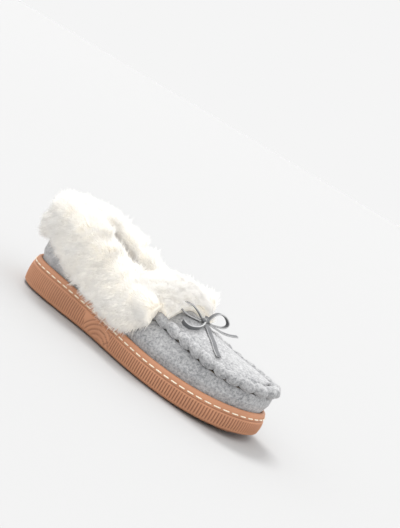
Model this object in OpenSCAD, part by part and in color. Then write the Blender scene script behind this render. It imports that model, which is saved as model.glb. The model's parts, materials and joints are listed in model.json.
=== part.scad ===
// Moccasin house slipper for the right foot, with a fur collar and a lace bow.
// +X is the toe, +Y the inner side of the foot, +Z up. The sole stands on z = 0,
// with the origin under the middle of the whole slipper.

/* [Sole] */
// Length of the outsole
sole_len = 268; // [256:1:280]
// Half width of the outsole at the ball of the foot
ball_half = 49; // [46:0.5:52]
// Half width of the outsole at the heel
heel_half = 38; // [36:0.5:40]
// Height of the rim at the heel
rim_heel = 27.6; // [26:0.2:30]
// Height of the rim at the ball
rim_ball = 21.4; // [20:0.2:23]
// Rise of the tread at the toe tip
toe_spring = 5; // [0:0.5:7]
// Thickness of the tread under the foot
tread_t = 6; // [5:0.5:7]

/* [Upper] */
// Thickness of the felt
felt_t = 1.8; // [1.4:0.1:2]
// Thickness of the fleece lining
lining_t = 3.6; // [3:0.2:4]
// Height of the upper's back edge above the floor
heel_top = 77; // [72:1:82]
// Height of the upper's edge beside the throat
throat_top = 58; // [56:1:62]
// How much higher the inner side's edge is than the outer side's, halved
side_tilt = 4.5; // [0:0.5:6]
// Height of the gathered seam beside the throat
seam_top = 50.5; // [49:0.5:53]
// Height of the gathered seam at the toe, before the toe spring
seam_toe = 43; // [42:0.5:46]

/* [Collar] */
// Depth of the fur pile on the outside of the collar
pile = 12; // [9:0.5:14]
// Depth of the fur pile over the fold
crest = 13; // [10:0.5:15]
// Depth of the fur pile on the tongue
tongue_pile = 20; // [14:1:22]

/* [Seams and lace] */
// Length of one sole stitch
stitch_len = 6.4; // [5:0.2:7]
// Distance from one sole stitch to the next
stitch_pitch = 8; // [7.6:0.2:10]
// Distance from one gather to the next
gather_pitch = 13; // [10:0.5:14]
// Width of the flat lace
lace_w = 4.6; // [4:0.2:5]
// Thickness of the flat lace
lace_t = 1.4; // [1.2:0.1:1.6]

/* [Hidden] */

STEP_A = 5;               // angle between two stations round the outline
GAP = 0.2;                // play between two layers
RUBBER = [0.67, 0.48, 0.37];
FELT = [0.71, 0.71, 0.71];
FUR = [0.96, 0.95, 0.92];
FLEECE = [0.83, 0.72, 0.6];
LACE = [0.55, 0.55, 0.56];
CREAM = [0.93, 0.88, 0.78];

// ---- general functions ----
function smooth(t) = let (c = min(max(t, 0), 1)) c * c * (3 - 2 * c);
function ramp(x, from, to) = smooth((x - from) / (to - from));
function mix(a, b, t) = a + (b - a) * t;
function steps(from, to, n) = [for (i = [0:n]) mix(from, to, i / n)];
function place(p) = [p[0] + shift_x, p[1] + shift_y, p[2]];

// ---- outline of the sole: a runs from 0 at the toe over the inner side ----
function half_width(x) = mix(heel_half, ball_half, ramp(x, -50, 50)) - 1.2 * exp(-pow((x + 25) / 35, 2));
function centre_y(x) = let (t = x / sole_len + 0.5) 2.6 * t * t - 3 * sin(180 * t);
function blunt(x) = 5 + 3 * ramp(-x, -40, 40);
function outline(a, inset) =
    let (x = (sole_len / 2 - inset) * cos(a),
         e = sqrt(max(0, 1 - pow(abs(cos(a)), blunt(x)))))
    [x, centre_y(x) + sign(sin(a)) * e * (half_width(x) - inset)];
function at(a, inset, z) = let (p = outline(a, inset)) [p[0], p[1], z];
function lift(x) = toe_spring * pow(max(0, (x - 60) / (sole_len / 2 - 60)), 2);
function rim_z(x) = mix(rim_heel, rim_ball, ramp(x, -110, 60)) + lift(x);
function station_x(a) = sole_len / 2 * cos(a);

TURN = [for (a = [0:STEP_A:359]) a];
collar_bulge = pile - 3.5;
shift_x = collar_bulge / 2;
edge_y = [for (a = TURN) outline(a, 0)[1]];
shift_y = -(max(edge_y) + min(edge_y)) / 2;

// ---- the upper's outer surface, as rows of [inset, height] from the cup to the top edge ----
THROAT_A = 93;            // station of the throat's edge
BACK_A = 179.8;           // station of the back seam
SEAM_A = 76;              // station where the gathered seam starts
function side(a) = sin(a);
function topline_z(a) =
    let (x = station_x(a)) mix(throat_top, heel_top, smooth(-x / 95)) + side_tilt * side(a);
function seam_in(x) = mix(13.4, 5.4, ramp(x, 70, 130));
function seam_z(x) = mix(seam_top, seam_toe, ramp(x, 20, 120)) + 0.6 * lift(x);
function over_throat(x) = ramp(-x, -20, 7);
function edge_in(a) =
    let (x = station_x(a))
    x > -20 ? seam_in(x) - 1.5 * (1 - over_throat(x)) : mix(13.4, 8, ramp(-x, 20, 120));
function edge_z(a) =
    let (x = station_x(a)) mix(seam_z(x) - 4.8, topline_z(a), over_throat(x));
function wall_rows(a) =
    let (x = station_x(a), r = rim_z(x), z3 = r + 7, i_top = edge_in(a), z_top = edge_z(a))
    concat([[9.3, 6.4 + lift(x)], [7.3, r - 6], [5.9, r]],
           [for (t = steps(0, 1, 4)) [mix(3.5, i_top, pow(t, 1.8)), mix(z3, z_top, t)]]);
function wall_in(a, z) = let (w = wall_rows(a)) lookup(z, [for (p = w) [p[1], p[0]]]);

// ---- solids carried along stations: each section is a ring whose two halves face each other ----
module loft(sections, closed = false) {
    n = len(sections);
    m = len(sections[0]);
    h = m / 2;
    last = closed ? n - 1 : n - 2;
    points = [for (s = sections) for (p = s) place(p)];
    sides = [for (i = [0:last]) for (j = [0:m - 1])
        let (k = (i + 1) % n, l = (j + 1) % m)
        each [[i * m + j, k * m + j, k * m + l], [i * m + j, k * m + l, i * m + l]]];
    ends = closed ? [] : [for (e = [0, n - 1]) for (j = [0:h - 2])
        let (p = e * m + j, q = e * m + j + 1, r = e * m + m - 2 - j, s = e * m + m - 1 - j)
        each e == 0 ? [[p, q, r], [p, r, s]] : [[p, r, q], [p, s, r]]];
    polyhedron(points = points, faces = concat(sides, ends), convexity = 10);
}

function reversed(v) = [for (i = [len(v) - 1:-1:0]) v[i]];

// a layer of the wall between depths d0 and d1 under the outer surface
function layer(a, rows, d0, d1) =
    concat([for (p = rows) at(a, p[0] + d0, p[1])], reversed([for (p = rows) at(a, p[0] + d1, p[1])]));
function lining_rows(a) =
    let (w = wall_rows(a), x = station_x(a))
    concat([[7.3, 20.4 + lift(x)]], [for (i = [3:len(w) - 1]) w[i]]);
function part_rows(a, from, to) = let (w = wall_rows(a)) [for (i = [from:to]) w[i]];

// ---- sole ----
function sole_rings(a) =
    let (x = station_x(a), b = lift(x), r = rim_z(x))
    [at(a, 6, b), at(a, 1.6, b + 1.4), at(a, 0.2, b + 5), at(a, 0, mix(b, r, 0.5)), at(a, 0.9, r - 7.5),
     at(a, 1.6, r - 5.2), at(a, 1.9, r - 3.4), at(a, 2.4, r - 1),
     at(a, 3.2, r), at(a, 5, r), at(a, 5.6, r - 0.8),
     at(a, 7, r - 6), at(a, 9, b + tread_t)];

// a closed solid from rings round the outline, its first and last ring closed by strips across
module stack(ring) {
    n = len(TURN);
    h = n / 2;
    rings = [for (a = TURN) ring(a)];
    m = len(rings[0]);
    points = [for (r = rings) for (p = r) place(p)];
    sides = [for (i = [0:n - 1]) for (j = [0:m - 2])
        let (k = (i + 1) % n)
        each [[i * m + j, k * m + j + 1, k * m + j], [i * m + j, i * m + j + 1, k * m + j + 1]]];
    caps = [for (j = [0, m - 1]) for (i = [0:h - 1])
        let (p = i * m + j, q = (i + 1) * m + j, r = ((n - i - 1) % n) * m + j, s = ((n - i) % n) * m + j,
             quad = i == 0 ? [p, q, r] : (i == h - 1 ? [p, q, s] : [p, q, r, s]))
        j == 0 ? quad : reversed(quad)];
    polyhedron(points = points, faces = concat(sides, caps), convexity = 10);
}

module plate(inset, z0, z1) {
    stack(function(a) let (b = lift(station_x(a))) [at(a, inset, z0 + b), at(a, inset, z1 + b)]);
}

module outsole() color(RUBBER) stack(function(a) sole_rings(a));
module midsole_foam() color("gainsboro") plate(11.5, tread_t + GAP, 9.5);
module insole_board() color("burlywood") plate(11.5, 9.5 + GAP, 11.5);
module footbed_foam() color("linen") plate(11.5, 11.5 + GAP, 16);
module footbed_fleece() color(FLEECE) plate(11.5, 16 + GAP, 20);

// ---- distances along a closed or open line, as pairs [distance, angle] ----
function along(line, angles) =
    let (pts = [for (a = angles) line(a)])
    [for (i = 0, s = 0; i < len(pts); i = i + 1, s = s + (i < len(pts) ? norm(pts[i] - pts[i - 1]) : 0))
        [s, angles[i]]];
function last_of(table) = table[len(table) - 1][0];

module rod(p, q, d) {
    v = q - p;
    translate(place(p)) rotate([0, acos(v[2] / norm(v)), atan2(v[1], v[0])])
        cylinder(d = d, h = norm(v), $fn = 16);
}

STITCH_D = 1.2;
function stitch_pt(a) = at(a, 0.9, rim_z(station_x(a)) - 4.3);
stitch_line = along(function(a) stitch_pt(a), [for (a = [0:2:360]) a]);

module sole_stitches() {
    total = last_of(stitch_line);
    n = floor(total / stitch_pitch);
    color(CREAM) for (i = [0:n - 1]) {
        s = (i + 0.5) * total / n;
        rod(stitch_pt(lookup(s - stitch_len / 2, stitch_line)),
            stitch_pt(lookup(s + stitch_len / 2, stitch_line)),
            STITCH_D);
    }
}

// ---- felt upper ----
module vamp_wrap() color(FELT)
    loft([for (a = steps(THROAT_A, -THROAT_A, 32)) layer(a, wall_rows(a), 0, felt_t)]);
module quarter(from, to) color(FELT)
    loft([for (a = steps(from, to, 18)) layer(a, wall_rows(a), 0, felt_t)]);
module quarter_lateral() quarter(-THROAT_A, -BACK_A);
module quarter_medial() quarter(BACK_A, THROAT_A);

LINING_D = felt_t + 1.6;  // depth of the lining's back, which leaves room for counter and toe puff
module stiffener(from, to) color("tan")
    loft([for (a = steps(from, to, 16)) layer(a, part_rows(a, 1, 5), felt_t + GAP, LINING_D - GAP)]);
module heel_counter() stiffener(234, 126);
module toe_puff() stiffener(42, -42);

module lining(from, to, n) color(FLEECE)
    loft([for (a = steps(from, to, n)) layer(a, lining_rows(a), LINING_D, LINING_D + lining_t)]);
module vamp_lining() lining(THROAT_A, -THROAT_A, 32);
module lining_lateral() lining(-THROAT_A, -BACK_A, 18);
module lining_medial() lining(BACK_A, THROAT_A, 18);

// ---- gathered edge: a roll whose thickness swells once a gather ----
function seam_pt(a) = let (x = station_x(a)) at(a, seam_in(x), seam_z(x));
seam_line = along(function(a) seam_pt(a), [for (a = [-SEAM_A:2:SEAM_A]) a]);
RINGS_PER_GATHER = 5;
module gathered_edge() {
    total = last_of(seam_line);
    gathers = round(total / gather_pitch);
    n = gathers * RINGS_PER_GATHER;
    color(FELT) loft([for (i = [0:n])
        let (a = lookup(i / n * total, seam_line), x = station_x(a),
             r = mix(3.4, 4.9, abs(sin(180 * i / RINGS_PER_GATHER))))
        [for (f = [22.5:45:360]) at(a, seam_in(x) + r * cos(f), seam_z(x) + 0.9 * r * sin(f))]]);
}
module gather_stitches() {
    total = last_of(seam_line);
    gathers = round(total / gather_pitch);
    color(LACE) for (i = [1:gathers - 1]) {
        a = lookup(i / gathers * total, seam_line);
        x = station_x(a);
        rod(at(a, seam_in(x) + 2.4, seam_z(x) + 3.9), at(a, seam_in(x) - 2.4, seam_z(x) + 3.9), 1);
    }
}

// ---- plug: the crowned top panel between the two sides of the seam ----
function crown(x) = 7.5 + 2 * (1 - ramp(x, 90, 128)) + 4 * (1 - ramp(x, 25, 65));
function roof_z(x, t) = seam_z(x) - 0.5 + crown(x) * (1 - pow(abs(t), 2.2));
ACROSS = steps(1, -1, 8);
function roof_row(a, inset, rise) =
    let (x = station_x(a), m = outline(a, inset), l = outline(-a, inset))
    [for (t = ACROSS) [m[0], mix(l[1], m[1], (t + 1) / 2), roof_z(x, t) + rise(t)]];
function roof_section(a, inset, low, high) =
    concat(roof_row(a, inset, high), reversed(roof_row(a, inset, low)));
PLUG_TIP_A = 6;
module plug() color(FELT) loft([for (a = steps(THROAT_A, PLUG_TIP_A, 20))
    roof_section(a, seam_in(station_x(a)) + 5.5, function(t) -felt_t, function(t) 0)]);
module plug_lining() color(FLEECE) loft([for (a = steps(THROAT_A, 16, 18))
    roof_section(a, seam_in(station_x(a)) + 9.5, function(t) -felt_t - GAP - lining_t,
                 function(t) -felt_t - GAP)]);

// ---- collar ----
TAPE_T = 1.2;
module topline_tape() color("white") loft([for (a = steps(THROAT_A + 2, 360 - THROAT_A - 2, 36))
    let (i = edge_in(a), z = edge_z(a) + GAP, w = LINING_D + lining_t)
    [at(a, i, z), at(a, i + w, z), at(a, i + w, z + TAPE_T), at(a, i, z + TAPE_T)]]);

function low_z(x) = 29 + 23 * ramp(-x, 60, 105) + 27 * ramp(x, 8, 44);
function collar_ring(a) =
    let (x = station_x(a), top = edge_z(a), low = low_z(x), i_top = edge_in(a), w = ramp(abs(a), 93, 99),
         mid = mix(low, top, 0.5), t = top + GAP + TAPE_T + 0.4)
    [at(a, wall_in(a, low) - 1, low), at(a, wall_in(a, mid) - 1, mid), at(a, i_top - 1, top - 1),
     at(a, i_top - 1, t), at(a, i_top + mix(1.5, 7.6, w), t),
     at(a, i_top + mix(1.5, 7.6, w), mix(t + 0.5, top - 12, w)),
     at(a, i_top + mix(3.4, 11.5, w), mix(t + 1, top - 13, w)),
     at(a, i_top + mix(3.2, 10, w), top + 0.75 * crest),
     at(a, i_top + 0.5, top + crest), at(a, i_top - 0.8 * pile, top + 0.55 * crest),
     at(a, wall_in(a, mid) - pile, mid), at(a, wall_in(a, low) - 0.6 * pile, low - 1)];
module collar(from, to) color(FUR) loft([for (a = steps(from, to, 22)) collar_ring(a)]);
module collar_lateral() collar(-180, -COLLAR_A);
module collar_medial() collar(COLLAR_A, 180);

COLLAR_A = 77;            // station of the collar's front end
TONGUE_X = 11;            // middle of the tongue's fur
TONGUE_R = 26;            // half its length
TONGUE_STEP = 6;
function tongue_h(x, t) =
    1.5 + tongue_pile * sqrt(max(0, 1 - pow((x - TONGUE_X) / TONGUE_R, 2))) * (1 - 0.3 * t * t);
function tongue_section(a, front) =
    let (x = station_x(a))
    roof_section(a, front ? seam_in(x) + 5.5 : 27, function(t) front ? 0.5 : -9, function(t) tongue_h(x, t));
module collar_tongue() color(FUR) loft(concat(
    [for (a = [96, 94.5, THROAT_A + 0.2]) tongue_section(a, false)],
    [for (a = concat([THROAT_A + 0.1], steps(90, 74.3, TONGUE_STEP))) tongue_section(a, true)]));

// ---- lace: a flat ribbon along hand-set points; wide is the direction of its width ----
function unit(v) = v / norm(v);
module ribbon(route, wide) {
    n = len(route);
    color(LACE) loft([for (i = [0:n - 1])
        let (t = unit(route[min(n - 1, i + 1)] - route[max(0, i - 1)]),
             w = unit(wide - (wide * t) * t), b = cross(t, w), p = lace_w / 2, q = lace_t / 2)
        [for (c = [[p, q / 3], [0.7 * p, q], [-0.7 * p, q], [-p, q / 3],
                   [-p, -q / 3], [-0.7 * p, -q], [0.7 * p, -q], [p, -q / 3]])
            route[i] + c[0] * w + c[1] * b]]);
}
KNOT = [45, 0, 63];
LEAD_LATERAL = [[40, -24, 57], [44, -25, 56], [49, -23, 56], [52, -17, 58], [51, -10, 60], [48.5, -5, 61.5]];
LEAD_MEDIAL = [[38, 14, 64], [40, 11, 64], [42, 8, 63], [43, 5, 62.5]];
LOOP_LATERAL = [[43, -4, 64.5], [40, -9, 68], [36, -15, 71], [32, -20, 71], [30, -23, 68], [32, -22, 64.5],
                [36, -17, 62.5], [40, -11, 62], [43.5, -5, 62]];
LOOP_MEDIAL = [[45.5, 4, 64.5], [46, 7, 69], [47, 12, 72.5], [50, 18, 72.5], [53, 22, 69.5], [54, 23, 66],
               [53, 19, 63], [50, 12, 62], [47.5, 5, 62]];
TAIL_LATERAL = [[49.5, -2, 61.5], [55, -5, 60], [62, -9, 57.5], [70, -14, 55.5], [78, -20, 53],
    [86, -25, 51]];
TAIL_MEDIAL = [[49, 3, 62], [53, 9, 61], [57, 16, 60], [61, 23, 60.5], [64, 30, 62]];

module lace_knot() color(LACE) translate(place(KNOT)) hull() {
    translate([0, -2.4, 0]) sphere(r = 2.6, $fn = 20);
    translate([0, 2.4, 0]) sphere(r = 2.6, $fn = 20);
    translate([2.4, 0, -0.3]) sphere(r = 2.4, $fn = 20);
}
module lace_lead_lateral() ribbon(LEAD_LATERAL, [0.3, -0.2, 1]);
module lace_lead_medial() ribbon(LEAD_MEDIAL, [1, 0.4, 0]);
module lace_loop_lateral() ribbon(LOOP_LATERAL, [0.85, -0.45, 0.1]);
module lace_loop_medial() ribbon(LOOP_MEDIAL, [0.9, -0.35, 0.2]);
module lace_tail_lateral() ribbon(TAIL_LATERAL, [0.5, 0.85, 0.1]);
module lace_tail_medial() ribbon(TAIL_MEDIAL, [0.85, -0.45, 0]);

outsole();
sole_stitches();
midsole_foam();
insole_board();
footbed_foam();
footbed_fleece();
vamp_wrap();
gathered_edge();
gather_stitches();
plug();
quarter_lateral();
quarter_medial();
heel_counter();
toe_puff();
vamp_lining();
plug_lining();
lining_lateral();
lining_medial();
topline_tape();
collar_lateral();
collar_medial();
collar_tongue();
lace_lead_lateral();
lace_lead_medial();
lace_knot();
lace_loop_lateral();
lace_loop_medial();
lace_tail_lateral();
lace_tail_medial();
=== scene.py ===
"""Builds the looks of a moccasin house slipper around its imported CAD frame.

Every visible surface is worked out with numpy as a function of two parameters: a, the angle
round the sole's outline, and a second one across the surface. Lengths in the formulas are in
millimetres, and meshes are written in metres.
"""
import json
import math

import bpy
import numpy as np
from mathutils import Matrix


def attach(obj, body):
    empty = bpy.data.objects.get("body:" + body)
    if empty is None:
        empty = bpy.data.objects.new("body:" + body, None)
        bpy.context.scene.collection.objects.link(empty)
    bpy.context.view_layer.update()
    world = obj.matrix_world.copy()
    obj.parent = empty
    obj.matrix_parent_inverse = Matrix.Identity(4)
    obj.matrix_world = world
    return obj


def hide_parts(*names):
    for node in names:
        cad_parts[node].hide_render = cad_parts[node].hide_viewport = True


bl_info = {
    "name": "House slipper",
    "version": (1, 0, 0),
    "blender": (4, 5, 0),
    "location": "View3D > Sidebar > Slipper",
    "description": "Ribbed rubber sole, felt upper, fur collar and lace bow of a moccasin slipper",
    "category": "Add Mesh",
}

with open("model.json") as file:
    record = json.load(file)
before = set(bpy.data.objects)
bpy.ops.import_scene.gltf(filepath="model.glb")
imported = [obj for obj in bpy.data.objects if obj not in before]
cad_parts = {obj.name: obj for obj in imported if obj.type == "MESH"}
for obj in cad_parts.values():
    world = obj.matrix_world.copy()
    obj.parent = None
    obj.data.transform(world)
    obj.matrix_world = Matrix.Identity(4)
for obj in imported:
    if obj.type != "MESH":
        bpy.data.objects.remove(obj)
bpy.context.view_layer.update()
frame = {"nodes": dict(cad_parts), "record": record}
MM = 0.001                # metres in a millimetre


# ---------------------------------------------------------------- driving sizes
def size_setting(name, text, value, low, high):
    """A size setting in millimetres, with its limits."""
    return bpy.props.FloatProperty(name=name, description=text, default=value, min=low, max=high)


class SlipperSizes(bpy.types.PropertyGroup):
    """Sizes that a user would change, in millimetres."""
    rib_pitch: size_setting("Rib pitch", "Distance between two ribs of the sole's wall", 2.6, 2, 4)
    rib_depth: size_setting("Rib depth", "Depth of the grooves between the ribs", 0.85, 0.1, 1)
    stitch_pitch: size_setting("Stitch pitch", "Distance from one sole stitch to the next", 8.0, 6, 10)
    stitch_len: size_setting("Stitch length", "Length of one sole stitch", 6.4, 4, 8)
    gather_pitch: size_setting("Gather pitch", "Distance from one gather to the next", 13.0, 9, 14)
    pile: size_setting("Pile length", "Length of the collar's drawn tufts", 11.0, 6, 20)
    strand_d: size_setting("Tuft width", "Width of one drawn tuft at its root", 0.75, 0.3, 1.5)
    fleece_pile: size_setting("Fleece pile", "Length of the lining's fleece", 3.5, 1, 6)
    lace_w: size_setting("Lace width", "Width of the flat lace", 4.6, 4, 5)
    lace_t: size_setting("Lace thickness", "Thickness of the flat lace", 1.4, 1, 2)


def colour(name, text, value):
    """A colour setting whose default is a linear value made from sRGB hex."""
    return bpy.props.FloatVectorProperty(
        name=name, description=text, default=linear(value), subtype="COLOR", size=3, min=0, max=1)


def linear(value):
    """sRGB hex string to three linear numbers."""
    parts = [int(value[i:i + 2], 16) / 255 for i in (0, 2, 4)]
    return tuple(c / 12.92 if c <= 0.04045 else ((c + 0.055) / 1.055) ** 2.4 for c in parts)


class SlipperColours(bpy.types.PropertyGroup):
    """Colours that a user would change."""
    rubber: colour("Rubber", "Gum rubber of the sole", "B98464")
    # painted shade: the colour between the ribs, on the crease over the wall and in the tread's hollows
    rubber_groove_shade: colour("Rubber in the grooves", "Dust and shade between the ribs", "754E3A")
    felt: colour("Felt", "Mean grey of the heathered felt", "9C9C9D")
    felt_dark: colour("Felt, dark fibres", "Dark fibres in the felt", "747577")
    felt_light: colour("Felt, light fibres", "Light fibres in the felt", "BDBDBD")
    fur: colour("Fur", "Cream of the long pile", "FFFEFC")
    # a warmer cream with painted shade deep in the pile
    fur_root_warmth_and_shade: colour("Fur, roots", "Warmer cream near the backing", "FDF9F0")
    fleece: colour("Fleece", "Tan of the short lining fleece", "E8CFB0")
    thread: colour("Sole thread", "Cream waxed thread", "F3E6D0")
    lace: colour("Lace", "Grey suede of the lace", "616264")
    lace_edge: colour("Lace edges", "Paler cut edges of the lace", "B4B4B4")


# ---------------------------------------------------------------- form of the slipper
SOLE_LEN = 268.0
BALL_HALF = 49.0          # half the sole's width at the ball, and at the heel
HEEL_HALF = 38.0
WAIST_DIP = 1.2           # how much narrower each side is at the waist
RIM_HEEL = 27.6           # height of the cup's rim at the heel, and at the ball
RIM_BALL = 21.4
TOE_SPRING = 5.0          # how far the sole's tip stands off the floor
TREAD_T = 6.0             # thickness of the sole under the foot
FELT_T = 1.8
LINING_D = FELT_T + 1.6   # depth of the lining under the felt's outer face: the felt and a stiffener
LINING_T = 3.6
HEEL_TOP = 77.0           # height of the felt's top edge at the heel, and at the throat
THROAT_TOP = 58.0
SIDE_TILT = 4.5           # how much the inner side's top edge stands above the middle
SEAM_TOP = 50.5           # height of the gathered seam at the throat, and at the toe
SEAM_TOE = 43.0
COLLAR_BULGE = 8.5        # how far the collar's CAD solid stands out behind the sole
THROAT_A = 93.0           # angle of the seam between the felt wrap and a quarter
SEAM_A = 82.0             # angle at which the gathers end
BACK_A = 179.8            # angle of the felt's back seam
LINE_DROP = 4.3           # the stitch line's distance below the rim's top
RIM_IN = 3.5              # inset of the felt where it stands widest, and its height above the rim
BULGE = 7.0


def smooth(t):
    """0 to 1 with level ends: three t squared less two t cubed."""
    t = np.clip(t, 0, 1)
    return t * t * (3 - 2 * t)


def ramp(x, low, high):
    """Smooth step from 0 at low to 1 at high."""
    return smooth((np.asarray(x, float) - low) / (high - low))


def mix(a, b, t):
    """The value that lies t of the way from a to b."""
    return a + (b - a) * t


def half_width(x):
    """Half the sole's width: a smooth step from heel to ball, less a bell-shaped dip at the waist."""
    return mix(HEEL_HALF, BALL_HALF, ramp(x, -50, 50)) - WAIST_DIP * np.exp(-((x + 25) / 35) ** 2)


def centre_y(x):
    """The bent middle line: a sine arc towards the outer side, and a parabola back at the toe."""
    t = x / SOLE_LEN + 0.5
    return 2.6 * t * t - 3 * np.sin(np.pi * t)


def outline(a, inset):
    """Point of the sole's outline: a superellipse-like curve, x = half length times cos a, and y = a bent
    middle line plus or minus a width that falls to nothing at both ends."""
    a = np.radians(a)
    x = (SOLE_LEN / 2 - inset) * np.cos(a)
    blunt = 5 + 3 * ramp(-x, -40, 40)
    e = np.sqrt(np.clip(1 - np.abs(np.cos(a)) ** blunt, 0, 1))
    return x, centre_y(x) + np.sign(np.sin(a)) * e * (half_width(x) - inset)


def lift(x):
    """Toe spring: a parabola that starts 60 mm before the middle."""
    return TOE_SPRING * (np.clip(np.asarray(x, float) - 60, 0, None) / (SOLE_LEN / 2 - 60)) ** 2


def rim_z(x):
    """Height of the cup's rim: a smooth fall from heel to ball, and the toe spring."""
    return mix(RIM_HEEL, RIM_BALL, ramp(x, -110, 60)) + lift(x)


def station_x(a):
    """Place along the shoe of angle a."""
    return SOLE_LEN / 2 * np.cos(np.radians(a))


# the CAD solids are centred on the floor, and the formulas on the sole's middle
EDGE_Y = outline(np.arange(0, 360, 5.0), 0.0)[1]
SHIFT = np.array([COLLAR_BULGE / 2, -(EDGE_Y.max() + EDGE_Y.min()) / 2, 0.0])


def at(a, inset, z):
    """Points at angle a, inset from the outline, at height z, in the sole's own millimetres."""
    x, y = outline(a, inset)
    return np.stack(np.broadcast_arrays(x, y, z), -1)


def topline_z(a):
    """Height of the felt's top edge: a smooth rise to the heel, tilted up on the inner side by a sine."""
    return mix(THROAT_TOP, HEEL_TOP, smooth(-station_x(a) / 95)) + SIDE_TILT * np.sin(np.radians(a))


def seam_in(x):
    """Inset of the gathered seam, which runs nearer the outline at the toe."""
    return mix(13.4, 5.4, ramp(x, 70, 130))


def seam_z(x):
    """Height of the gathered seam: a smooth fall to the toe, with part of the toe spring."""
    return mix(SEAM_TOP, SEAM_TOE, ramp(x, 20, 120)) + 0.6 * lift(x)


def seam_line(a):
    """Middle of the gathered seam at angle a."""
    x = station_x(a)
    return at(a, seam_in(x), seam_z(x))


def over_throat(x):
    """0 where the top edge is the seam and 1 where it is the opening, in a smooth step at the throat."""
    return ramp(-x, -20, 7)


def edge_in(a):
    """Inset of the felt's top edge."""
    x = station_x(a)
    front = seam_in(x) - 1.5 * (1 - over_throat(x))
    return np.where(x > -20, front, mix(13.4, 8.0, ramp(-x, 20, 120)))


def edge_z(a):
    """Height of the felt's top edge: under the gathers in front, and the opening's edge behind."""
    x = station_x(a)
    return mix(seam_z(x) - 4.8, topline_z(a), over_throat(x))


def wall_point(a, v):
    """(inset, height) of the upper's outer surface: v 0 to 1 runs up inside the cup to the rim, and 1 to 2
    bulges out over the rim and then leans in to the top edge, by a power curve."""
    x = station_x(a)
    r = rim_z(x)
    z3 = r + BULGE
    t = np.clip(v - 1, 0, 1)
    low = np.clip(v, 0, 1)
    keys = np.array([0, 0.5, 0.75, 1.0])
    inset_low = np.interp(low, keys, [9.3, 7.3, 5.9, RIM_IN])
    z_low = np.where(low < 0.5, mix(6.4 + lift(x), r - 6, low / 0.5),
                     np.where(low < 0.75, mix(r - 6, r, (low - 0.5) / 0.25), mix(r, z3, (low - 0.75) / 0.25)))
    inset = np.where(v <= 1, inset_low, mix(RIM_IN, edge_in(a), t ** 1.8))
    return inset, np.where(v <= 1, z_low, mix(z3, edge_z(a), t))


def wall_in(a, z):
    """The outer surface's inset at height z, above the rim."""
    z3 = rim_z(station_x(a)) + BULGE
    t = np.clip((z - z3) / (edge_z(a) - z3), 0, 1)
    return mix(RIM_IN, edge_in(a), t ** 1.8)


def crown(x):
    """Rise of the top panel's middle above its edges, higher at the toe and again at the throat."""
    return 7.5 + 2 * (1 - ramp(x, 90, 128)) + 4 * (1 - ramp(x, 25, 65))


def roof_z(x, t):
    """Height of the top panel t of the way from its middle to an edge, by a power curve."""
    return seam_z(x) - 0.5 + crown(x) * (1 - np.abs(t) ** 2.2)


def roof_point(a, t, inset, rise):
    """Point of the crowned top panel: a sets the station along the shoe, and t from -1 to 1 runs across."""
    x, y1 = outline(a, inset)
    y0 = outline(-a, inset)[1]
    return np.stack(np.broadcast_arrays(x, mix(y0, y1, (t + 1) / 2), roof_z(x, t) + rise), -1)


def distance_along(points):
    """Distance of each point from the first, along the line through them."""
    return np.concatenate([[0], np.cumsum(np.linalg.norm(np.diff(points, axis=0), axis=1))])


def even_angles(line, low, high, n, closed=False):
    """n angles between low and high that lie at even distances along line(a), and the line's length."""
    fine = np.linspace(low, high, 1441)
    s = distance_along(line(fine))
    want = np.linspace(0, s[-1], n + 1)[:-1] if closed else np.linspace(0, s[-1], n)
    return np.interp(want, s, fine), s[-1]


def noise(p, scale, seed):
    """Smooth noise in -1 to 1 at points p: a sum of sine waves in random directions, of about scale long."""
    rng = np.random.default_rng(seed)
    total = np.zeros(p.shape[:-1])
    for _ in range(7):
        k = rng.normal(size=3)
        k *= 2 * np.pi / (scale * rng.uniform(0.7, 1.6) * np.linalg.norm(k))
        total = total + np.sin(p @ k + rng.uniform(0, 2 * np.pi))
    return total / 3.2


# ---------------------------------------------------------------- meshes
def new_mesh(name, points, faces):
    """A smooth mesh object at the origin, from points in the sole's millimetres and arrays of faces."""
    mesh = bpy.data.meshes.new(name)
    co = ((points.reshape(-1, 3) + SHIFT) * MM).astype(np.float32)
    groups = faces if isinstance(faces, list) else [faces]
    groups = [np.asarray(g, np.int32) for g in groups if len(g)]
    loops = np.concatenate([g.ravel() for g in groups])
    sizes = np.concatenate([np.full(len(g), g.shape[1], np.int32) for g in groups])
    starts = np.concatenate([[0], np.cumsum(sizes)[:-1]]).astype(np.int32)
    mesh.vertices.add(len(co))
    mesh.vertices.foreach_set("co", co.ravel())
    mesh.loops.add(len(loops))
    mesh.loops.foreach_set("vertex_index", loops)
    mesh.polygons.add(len(sizes))
    mesh.polygons.foreach_set("loop_start", starts)
    mesh.update(calc_edges=True)
    mesh.validate()
    mesh.polygons.foreach_set("use_smooth", np.ones(len(sizes), bool))
    obj = bpy.data.objects.new(name, mesh)
    bpy.context.scene.collection.objects.link(obj)
    return obj


def grid_faces(n, m, wrap_n=False, wrap_m=False):
    """Quads of an n by m grid of points, wound along n and then m."""
    i = np.arange(n if wrap_n else n - 1)[:, None]
    j = np.arange(m if wrap_m else m - 1)[None, :]
    k = (i + 1) % n
    l = (j + 1) % m
    return np.stack(np.broadcast_arrays(i * m + j, k * m + j, k * m + l, i * m + l), -1).reshape(-1, 4)


def outward(obj):
    """Turns every face outwards on a closed mesh, by the sign of its volume."""
    mesh = obj.data
    co = np.empty(len(mesh.vertices) * 3, np.float32)
    mesh.vertices.foreach_get("co", co)
    co = co.reshape(-1, 3).astype(float)
    mesh.calc_loop_triangles()
    tri = np.empty(len(mesh.loop_triangles) * 3, np.int32)
    mesh.loop_triangles.foreach_get("vertices", tri)
    a, b, c = co[tri.reshape(-1, 3).T]
    if np.einsum("ij,ij->i", a, np.cross(b, c)).sum() < 0:
        mesh.flip_normals()
    return obj


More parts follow.
